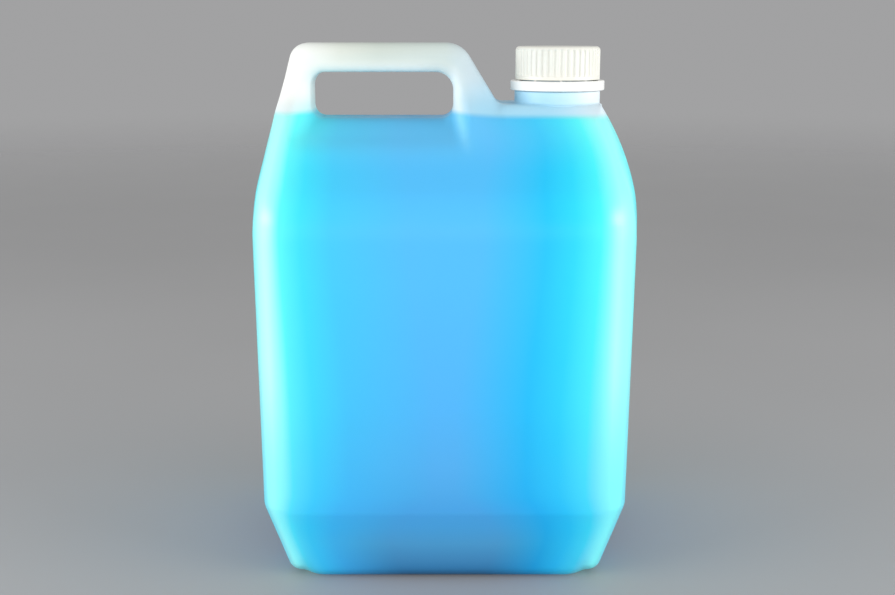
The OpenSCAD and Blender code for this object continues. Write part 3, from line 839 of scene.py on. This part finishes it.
def wadMesh():
    low, high, r = wadLow[2], wadHigh[2], wad["radius"]
    a, b, press = neck["boreRadius"] + 0.4, neck["rootRadius"] - 0.3, wad["printDepth"]
    soft = wad["printEdge"]
    corners = [
        [0, low, 0], [a - soft, low, 0.5], [a, low + press, 0.5], [b, low + press, 0.4], [b + soft, low, 0.3],
        [r, low, 0.2], [r, high, 0.2], [0, high, 0]]
    return meshFromGrids("sealingWad", [(turned(softProfile(corners), evenAngles(128)), False)])


sealingWad = newPiece("sealingWad", wadMesh())
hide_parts("sealing_wad")
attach(sealingWad, "wad")


# Colour guides: numbers on the vertices that the materials turn into colours, most of them for painted light
# and shade

# Below: painted shade under the finger hole, painted highlights along the fold and on the corners, painted
# glow at the rim and the left leg
# Each pair is where a change starts and how far it reaches, in millimetres
guide = {
    "narrow": 1.08, "upper": (85.0, 95.0, 0.17), "roof": (190.0, 25.0, 0.2), "foot": (50.0, 30.0, 0.5),
    "underLeft": (1.0, 34.0), "underRight": (1.0, 12.0), "underStart": 2.0, "underFade": 4.5,
    "foldStart": 0.5, "foldBend": 6.5, "foldPower": 1.6, "foldWidth": 2.3, "foldLow": 205.0,
    "foldDrop": 38.0, "foldTop": (6.0, 12.0), "rimWidth": 4.5, "rimStart": (1.0, 4.0),
    "legShift": 1.0, "legWidth": 7.0, "legTop": (13.0, 12.0), "legSide": (8.0, 6.0),
    "glintLeft": -82.3, "glintRight": 79.6, "glintWidth": 3.0, "glintZ": 180.2, "glintHeight": 4.2,
    "glintTail": 0.38, "tailLength": 60.0}


# Distance in from the nearest upright corner, along the wall that a point lies on
def cornerDistance(places, skin):
    x, y, z = places.T
    half = np.where(x < 0, -leftX(skin, z), rightX(skin, z))
    depth = np.interp(z, skin["side"][:, 1], -skin["side"][:, 0])
    narrow = guide["narrow"]
    for start, reach, share in (guide["upper"], guide["roof"]):
        narrow = narrow + share * ease((z - start) / reach)
    start, reach, share = guide["foot"]
    narrow = narrow + share * ease((start - z) / reach)
    return np.maximum(half - np.abs(x), depth - np.abs(y)) * narrow


# Painted shade under the floor of the finger hole: how far a point lies under it, as a share that fades out
def underHoleShade(places):
    x, y, z = places.T
    left = ease((x - holeLeft - guide["underLeft"][0]) / guide["underLeft"][1])
    right = ease((can["holeRight"] + guide["underRight"][0] - x) / guide["underRight"][1])
    return left * right * np.exp(-np.maximum(0, holeZ + guide["underStart"] - z) / guide["underFade"])


# A painted highlight along the fold that runs down from the right-hand side of the finger hole, and bends
# away
# from it: a bell across, centred on x = a + b * (drop from the hole's top) ** p
def foldLight(places):
    x, y, z = places.T
    drop = np.maximum(0, holeTopZ - z) / guide["foldDrop"]
    middle = can["holeRight"] + guide["foldStart"] + guide["foldBend"] * drop ** guide["foldPower"]
    along = ease((z - guide["foldLow"]) / (levelZ - guide["foldLow"]))
    along = along * ease((holeTopZ + guide["foldTop"][0] - z) / guide["foldTop"][1])
    return np.exp(-((x - middle) / guide["foldWidth"]) ** 2) * along


# Painted light in the plastic around the finger hole, down to the liquid, standing for light that gathers
# there
def rimGlow(places, skin):
    gap = pathGap(places[:, [0, 2]], skin["hole"])
    above = ease((places[:, 2] - holeZ - guide["rimStart"][0]) / guide["rimStart"][1])
    return np.exp(-(gap / guide["rimWidth"]) ** 2) * above


# Painted glow in the foot of the left leg, standing for light from the liquid that shows there
def legGlow(places):
    x, y, z = places.T
    aside = np.exp(-((x - holeLeft + guide["legShift"]) / guide["legWidth"]) ** 2)
    low = ease((holeZ + guide["legTop"][0] - z) / guide["legTop"][1])
    return aside * low * ease((holeLeft + guide["legSide"][0] - x) / guide["legSide"][1])


# A painted highlight on the upright corners: a soft spot at the shoulder and a fading tail under it
def cornerGlint(places):
    x, y, z = places.T
    off = (x - np.where(x < 0, guide["glintLeft"], guide["glintRight"])) / guide["glintWidth"]
    spot = np.exp(-((z - guide["glintZ"]) / guide["glintHeight"]) ** 2)
    drop = (guide["glintZ"] - z) / guide["tailLength"]
    tail = guide["glintTail"] * ease(drop * 12 + 0.5) * ease(2 - drop)
    return np.exp(-off ** 2) * np.maximum(spot, tail)


# hollow carries the painted shade under the finger hole; fold and glint carry painted highlights, rim and leg
# a painted glow; corner is a plain distance
def writeGuides(mesh, skin):
    places = vertexPlaces(mesh)
    writeAttribute(mesh, "corner", np.clip(cornerDistance(places, skin) / halfWidth, 0, 1))
    writeAttribute(mesh, "hollow", underHoleShade(places))
    writeAttribute(mesh, "fold", foldLight(places))
    writeAttribute(mesh, "rim", rimGlow(places, skin))
    writeAttribute(mesh, "leg", legGlow(places))
    writeAttribute(mesh, "glint", cornerGlint(places))


writeGuides(shellMesh, outerSkin)
writeGuides(cleanerMesh, outerSkin)


# Materials

def newMaterial(name, roughness, **values):
    material = bpy.data.materials.new(name)
    material.use_nodes = True
    nodes = material.node_tree.nodes
    nodes.clear()
    shader = nodes.new("ShaderNodeBsdfPrincipled")
    output = nodes.new("ShaderNodeOutputMaterial")
    material.node_tree.links.new(shader.outputs[0], output.inputs[0])
    shader.inputs["Roughness"].default_value = roughness
    for socket, value in values.items():
        shader.inputs[socket.replace("_", " ")].default_value = value
    return material, shader


def node(material, kind, inputs=(), **settings):
    made = material.node_tree.nodes.new(kind)
    for key, value in settings.items():
        setattr(made, key, value)
    for key, value in inputs:
        if isinstance(value, bpy.types.NodeSocket):
            material.node_tree.links.new(value, made.inputs[key])
        else:
            made.inputs[key].default_value = value
    return made


def link(material, a, b):
    material.node_tree.links.new(a, b)


def attribute(material, name):
    return node(material, "ShaderNodeAttribute", attribute_name=name).outputs["Fac"]


def ramp(material, factor, stops, interpolation="LINEAR"):
    made = node(material, "ShaderNodeValToRGB", [(0, factor)])
    made.color_ramp.interpolation = interpolation
    points = made.color_ramp.elements
    while len(points) < len(stops):
        points.new(0.5)
    for point, (place, colour) in zip(points, stops):
        point.position = place
        point.color = (*colour, 1)
    return made.outputs[0]


def ranged(material, value, fromLow, fromHigh, toLow=0.0, toHigh=1.0, smooth=True):
    return node(material, "ShaderNodeMapRange", [
        ("Value", value), ("From Min", fromLow), ("From Max", fromHigh),
        ("To Min", toLow), ("To Max", toHigh)],
        interpolation_type="SMOOTHSTEP" if smooth else "LINEAR").outputs[0]


def mathOf(material, operation, a, b):
    return node(material, "ShaderNodeMath", [(0, a), (1, b)], operation=operation).outputs[0]


# A number between a and b, by a factor
def colourValue(material, factor, a, b):
    return node(material, "ShaderNodeMix", [(0, factor), (2, a), (3, b)], data_type="FLOAT").outputs[0]


def colourMix(material, factor, a, b, blend="MIX"):
    made = node(material, "ShaderNodeMix", data_type="RGBA", blend_type=blend)
    for key, value in ((0, factor), (6, a), (7, b)):
        if isinstance(value, bpy.types.NodeSocket):
            link(material, value, made.inputs[key])
        else:
            made.inputs[key].default_value = value if key == 0 else (*value, 1)
    return made.outputs[2]


def times(material, a, b):
    return mathOf(material, "MULTIPLY", a, b)


def objectPlace(material):
    return node(material, "ShaderNodeTexCoord").outputs["Object"]


def axesOf(material, place):
    split = node(material, "ShaderNodeSeparateXYZ", [(0, place)])
    return split.outputs["X"], split.outputs["Z"]


def noise(material, place, scale, detail=2.0):
    return node(material, "ShaderNodeTexNoise", [
        ("Vector", place), ("Scale", scale), ("Detail", detail)]).outputs[0]


def bump(material, shader, height, strength, distance):
    made = node(material, "ShaderNodeBump", [
        ("Strength", strength), ("Distance", distance), ("Height", height)])
    link(material, made.outputs[0], shader.inputs["Normal"])


# Colours are linear light. The stops run from the upright corners to the middle of a wall.
# The corners are pale partly as the liquid is thin there and partly as painted light from the side lamps,
# and the light in the room comes from the sides, so the left and the right half differ as painted light
liquidLook = {
    "leftStops": [
        (0.00, (0.44, 0.95, 0.92)), (0.09, (0.45, 0.95, 0.93)), (0.15, (0.31, 0.95, 0.93)),
        (0.20, (0.115, 0.90, 0.93)), (0.33, (0.058, 0.75, 0.93)), (0.52, (0.068, 0.62, 0.915)),
        (1.00, (0.098, 0.545, 0.915))],
    "rightStops": [
        (0.00, (0.32, 0.95, 0.93)), (0.12, (0.36, 0.95, 0.93)), (0.17, (0.26, 0.95, 0.93)),
        (0.26, (0.075, 0.88, 0.93)), (0.42, (0.032, 0.71, 0.93)), (0.60, (0.024, 0.59, 0.915)),
        (1.00, (0.098, 0.545, 0.915))],
    # The next colour and its share are painted shade under the finger hole
    "underHoleShade": (0.075, 0.40, 0.72),
    "underHoleShadeShare": 0.34,
    # A painted highlight along the fold
    "fold": (0.34, 0.80, 0.94),
    "foldShare": 0.8,
    # A painted highlight on the upright corners
    "glint": (0.80, 0.97, 0.95),
    "glintShare": 0.5,
    # Painted light added on the upper shoulder, different on the left and the right
    "topLightLeft": (0.055, 0.07, 0.03),
    "topLightRight": (0.04, 0.025, 0.0),
    # Painted shade: the foot darkens towards the bottom, most in the middle of a wall
    "footShadeSide": [
        (0.00, (0.72, 0.72, 0.99)), (0.064, (0.80, 0.77, 1.0)), (0.144, (0.80, 0.81, 1.0)),
        (0.20, (0.70, 0.81, 1.0)), (0.26, (0.84, 0.80, 1.0)), (0.40, (0.96, 0.85, 1.0)),
        (0.60, (0.97, 0.93, 1.0)), (1.00, (1.0, 1.0, 1.0))],
    "footShadeMiddle": [
        (0.00, (0.14, 0.16, 0.20)), (0.016, (0.28, 0.30, 0.39)), (0.04, (0.40, 0.39, 0.49)),
        (0.072, (0.62, 0.50, 0.58)), (0.136, (0.83, 0.66, 0.71)), (0.20, (0.76, 0.71, 0.81)),
        (0.264, (0.76, 0.72, 0.85)), (0.328, (0.90, 0.79, 0.89)), (0.40, (1.0, 0.84, 0.93)),
        (0.60, (1.0, 0.92, 1.0)), (1.00, (1.0, 1.0, 1.0))],
    "footTop": 150.0,
    "footInward": (0.2, 1.1),
    "footCorner": (0.05, 0.25),
    # Lower down, the painted light on the pale corners is toned back towards cyan
    "cornerTint": (0.68, 0.97, 1.0),
    "tintHeights": (0.115, 0.045),
    "tintCorner": (0.25, 0.1),
    "topHeights": (0.198, 0.220),
    "topCorner": (0.12, 0.26),
    "topSplit": (0.0, 0.03),
    "halfSplit": (-0.03, 0.03),
    "cloudScale": 14.0,
    "cloudRange": (0.3, 0.7, 0.97, 1.02),
    "roughness": 0.25,
}
plasticLook = {
    # Across the dry plastic from left to right: lighter at both ends where the side lamps fall and greyer
    # between, as painted light and shade, and bluish over the liquid towards the neck
    "dryStops": [
        (0.00, (0.96, 0.97, 0.95)), (0.12, (0.94, 0.97, 0.93)), (0.22, (0.74, 0.79, 0.72)),
        (0.32, (0.64, 0.71, 0.65)), (0.50, (0.63, 0.72, 0.69)), (0.57, (0.63, 0.75, 0.80)),
        (0.66, (0.60, 0.80, 0.92)), (0.78, (0.68, 0.91, 1.0)), (0.92, (0.97, 0.98, 0.98))],
    # A painted highlight along the fold
    "dryFold": (0.88, 0.97, 1.0),
    # Painted light around the finger hole
    "rim": (0.98, 1.0, 0.94),
    # A painted glow in the left leg
    "leg": (0.62, 0.97, 0.96),
    # The liquid's colour in the plastic above the level, partly seen through it and partly painted light
    # scattered up from it
    "tinted": (0.40, 0.74, 0.94),
    "foldShare": 0.75,
    "legShare": 0.9,
    "levelAbove": 0.0020,
    "levelBelow": 0.0014,
    "levelDrop": (0.0, 0.03, 0.0, 0.0014),
    "tintBelow": 0.001,
    "tintLeft": (0.009, 0.25),
    "tintRight": (0.020, 0.95),
    "tintSplit": (-0.01, 0.02),
    "tintFade": (0.045, 0.075, 1.0, 0.4),
    "rimFade": (-0.02, 0.005, 1.0, 0.4),
    "wetAlpha": 0.82,
    "dryAlpha": 0.97,
    "specular": 0.16,
    "grain": (900.0, 0.08, 0.0002),
    "waveScale": 45.0,
    "waveRoughness": (0.3, 0.7, 0.28, 0.42),
    "roughness": 0.36,
}


def liquidColours(material, place):
    look = liquidLook
    across, height = axesOf(material, place)
    corner = attribute(material, "corner")
    colour = colourMix(material, ranged(material, across, *look["halfSplit"]),
                       ramp(material, corner, look["leftStops"]), ramp(material, corner, look["rightStops"]))
    # Painted shade, darker towards the bottom of the foot and away from the corners
    rise = ranged(material, height, 0.0, look["footTop"] * metre, smooth=False)
    foot = colourMix(material, ranged(material, corner, *look["footInward"]),
                     ramp(material, rise, look["footShadeSide"]), ramp(material, rise, look["footShadeMiddle"]))
    inFoot = ranged(material, corner, *look["footCorner"])
    colour = colourMix(material, inFoot, colour, foot, "MULTIPLY")
    # Lower down, the painted light on the pale corners is toned back
    pale = times(material, ranged(material, height, *look["tintHeights"]),
                 ranged(material, corner, *look["tintCorner"]))
    colour = colourMix(material, pale, colour, look["cornerTint"], "MULTIPLY")
    # Painted light added on the upper shoulder, away from the corners
    high = times(material, ranged(material, height, *look["topHeights"]),
                 ranged(material, corner, *look["topCorner"]))
    topLight = colourMix(material, ranged(material, across, *look["topSplit"]),
                         look["topLightLeft"], look["topLightRight"])
    colour = colourMix(material, high, colour, topLight, "ADD")
    # Painted shade under the finger hole
    under = times(material, attribute(material, "hollow"), look["underHoleShadeShare"])
    colour = colourMix(material, under, colour, look["underHoleShade"])
    # Painted highlights along the fold and on the upright corners
    for name in ("fold", "glint"):
        share = times(material, attribute(material, name), look[name + "Share"])
        colour = colourMix(material, share, colour, look[name])
    return colour


def makeLiquid():
    material, shader = newMaterial("blueCleaner", liquidLook["roughness"], IOR=1.34)
    place = objectPlace(material)
    cloud = ranged(material, noise(material, place, liquidLook["cloudScale"]), *liquidLook["cloudRange"])
    tone = node(material, "ShaderNodeHueSaturation", [
        ("Color", liquidColours(material, place)), ("Value", cloud)]).outputs[0]
    link(material, tone, shader.inputs["Base Color"])
    return material


def makePlastic():
    look, level = plasticLook, levelZ * metre
    material, shader = newMaterial("milkyPolyethylene", look["roughness"], IOR=1.5)
    shader.inputs["Specular IOR Level"].default_value = look["specular"]
    place = objectPlace(material)
    across, height = axesOf(material, place)
    wetHeight = mathOf(material, "ADD", height, ranged(material, across, *look["levelDrop"]))
    wet = ranged(material, wetHeight, level + look["levelAbove"], level - look["levelBelow"])
    # The tint of the liquid spreads up from its level, most between the handle and the neck: partly the
    # liquid seen through the plastic, partly painted light scattered up from it
    left, right = [
        ranged(material, height, level + reach, level - look["tintBelow"], 0.0, share)
        for reach, share in (look["tintLeft"], look["tintRight"])]
    near = colourValue(material, ranged(material, across, *look["tintSplit"]), left, right)
    near = times(material, near, ranged(material, across, *look["tintFade"]))
    # Painted light and shade across the dry plastic, lighter at both ends
    share = ranged(material, across, -halfWidth * metre, halfWidth * metre, smooth=False)
    dry = colourMix(material, near, ramp(material, share, look["dryStops"]), look["tinted"])
    # Painted highlight along the fold
    light = times(material, attribute(material, "fold"), look["foldShare"])
    dry = colourMix(material, light, dry, look["dryFold"])
    # Painted light around the finger hole, fading towards the right
    rim = times(material, attribute(material, "rim"), ranged(material, across, *look["rimFade"]))
    dry = colourMix(material, rim, dry, look["rim"])
    # Painted glow in the foot of the left leg
    leg = times(material, attribute(material, "leg"), look["legShare"])
    dry = colourMix(material, leg, dry, look["leg"])
    link(material, colourMix(material, wet, dry, liquidColours(material, place)), shader.inputs["Base Color"])
    # Under the level the wall lets some of the liquid show, and all light for shadows through
    alpha = ranged(material, wet, 0, 1, look["dryAlpha"], look["wetAlpha"], smooth=False)
    shadow = node(material, "ShaderNodeLightPath").outputs["Is Shadow Ray"]
    opaque = mathOf(material, "SUBTRACT", 1.0, times(material, shadow, wet))
    link(material, times(material, alpha, opaque), shader.inputs["Alpha"])
    wave = noise(material, place, look["waveScale"])
    link(material, ranged(material, wave, *look["waveRoughness"]), shader.inputs["Roughness"])
    scale, strength, distance = look["grain"]
    bump(material, shader, noise(material, place, scale, 3.0), strength, distance)
    return material


# Colour and roughness of the white pieces, and their fine unevenness
whiteLook = {
    "cap": ((0.87, 0.865, 0.79), 0.36), "band": ((0.95, 0.95, 0.93), 0.34), "wad": ((0.86, 0.86, 0.82), 0.8),
    "shade": 0.96, "cloudScale": 60.0, "roughnessSpread": (-0.04, 0.05), "grain": (1500.0, 0.06, 0.0001)}


def makeWhite(name, colour, roughness):
    material, shader = newMaterial(name, roughness, IOR=1.5)
    place = objectPlace(material)
    cloud = noise(material, place, whiteLook["cloudScale"])
    shade = tuple(c * whiteLook["shade"] for c in colour)
    tone = colourMix(material, ranged(material, cloud, 0.35, 0.65), colour, shade)
    link(material, tone, shader.inputs["Base Color"])
    low, high = whiteLook["roughnessSpread"]
    rough = ranged(material, cloud, 0.3, 0.7, roughness + low, roughness + high)
    link(material, rough, shader.inputs["Roughness"])
    scale, strength, distance = whiteLook["grain"]
    bump(material, shader, noise(material, place, scale, 3.0), strength, distance)
    return material


print("making the materials")
bottleShell.data.materials.append(makePlastic())
floorCleaner.data.materials.append(makeLiquid())
screwCap.data.materials.append(makeWhite("whiteCapPlastic", *whiteLook["cap"]))
tearOffBand.data.materials.append(makeWhite("whiteBandPlastic", *whiteLook["band"]))
sealingWad.data.materials.append(makeWhite("softFoam", *whiteLook["wad"]))

# Floor, light and camera

studio = {
    "floorColour": (0.42, 0.42, 0.425),
    "backdrop": (0.36, 0.36, 0.365),
    "floorSize": 9.0,
    "fadeStart": 0.5,
    "fadeEnd": 3.6,
    "domeStrength": 0.54,
    "aim": (0, 0, 0.15),
    # Name, place, width, height and strength of each panel
    "panels": [
        ("leftPanel", (-1.05, -0.4, 0.32), 0.8, 0.6, 7.4),
        ("rightPanel", (1.05, -0.4, 0.32), 0.8, 0.6, 7.4),
        ("frontPanel", (0.0, -1.6, 0.38), 2.6, 0.76, 8.2)],
}


# The floor fades into the colour behind it, so no horizon shows
def makeFloor():
    half = studio["floorSize"] / 2
    sheet = np.array([[[x, y, 0.0] for y in (-half, half)] for x in (-half, half)]) / metre
    floor = newPiece("studioFloor", meshFromGrids("studioFloor", [(sheet, False)]))
    material, shader = newMaterial("floorPaper", 0.65)
    place = objectPlace(material)
    pale = colourMix(material, ranged(material, noise(material, place, 3), 0.3, 0.7),
                     studio["floorColour"], tuple(0.97 * c for c in studio["floorColour"]))
    link(material, pale, shader.inputs["Base Color"])
    away = node(material, "ShaderNodeVectorMath", [(0, place)], operation="LENGTH").outputs["Value"]
    fade = ranged(material, away, studio["fadeStart"], studio["fadeEnd"], 1.0, 0.0)
    link(material, fade, shader.inputs["Alpha"])
    floor.data.materials.append(material)


def makeWorld():
    world = bpy.data.worlds.new("studioWorld")
    world.use_nodes = True
    nodes, links = world.node_tree.nodes, world.node_tree.links
    nodes.clear()
    path = nodes.new("ShaderNodeLightPath")
    light, seen = nodes.new("ShaderNodeBackground"), nodes.new("ShaderNodeBackground")
    light.inputs[0].default_value, light.inputs[1].default_value = (1, 1, 1, 1), studio["domeStrength"]
    seen.inputs[0].default_value, seen.inputs[1].default_value = (*studio["backdrop"], 1), 1
    chooser, output = nodes.new("ShaderNodeMixShader"), nodes.new("ShaderNodeOutputWorld")
    links.new(path.outputs["Is Camera Ray"], chooser.inputs[0])
    links.new(light.outputs[0], chooser.inputs[1])
    links.new(seen.outputs[0], chooser.inputs[2])
    links.new(chooser.outputs[0], output.inputs[0])
    bpy.context.scene.world = world


def softLight(name, place, width, height, power):
    lamp = bpy.data.lights.new(name, "AREA")
    lamp.shape, lamp.size, lamp.size_y, lamp.energy = "RECTANGLE", width, height, power
    holder = bpy.data.objects.new(name, lamp)
    holder.location = place
    holder.rotation_euler = (Vector(studio["aim"]) - Vector(place)).to_track_quat("-Z", "Y").to_euler()
    bpy.context.scene.collection.objects.link(holder)


makeFloor()
makeWorld()
for panel in studio["panels"]:
    softLight(*panel)

# The photo's frame is 895 pixels wide, and the lens was 1200 of its pixels away
view = {"imageWidth": 895, "focalPixels": 1200.0, "sensor": 36.0, "place": (1.4, -612.0, 264.4),
        "pitch": 12.542}
camera = bpy.data.objects.new("photoCamera", bpy.data.cameras.new("photoCamera"))
camera.data.sensor_width = view["sensor"]
camera.data.lens = view["focalPixels"] / view["imageWidth"] * view["sensor"]
camera.location = Vector(view["place"]) * metre
camera.rotation_euler = (math.radians(90 - view["pitch"]), 0, 0)
bpy.context.scene.collection.objects.link(camera)
bpy.context.scene.camera = camera
bpy.context.scene.view_settings.view_transform = "Standard"

print("finishing")
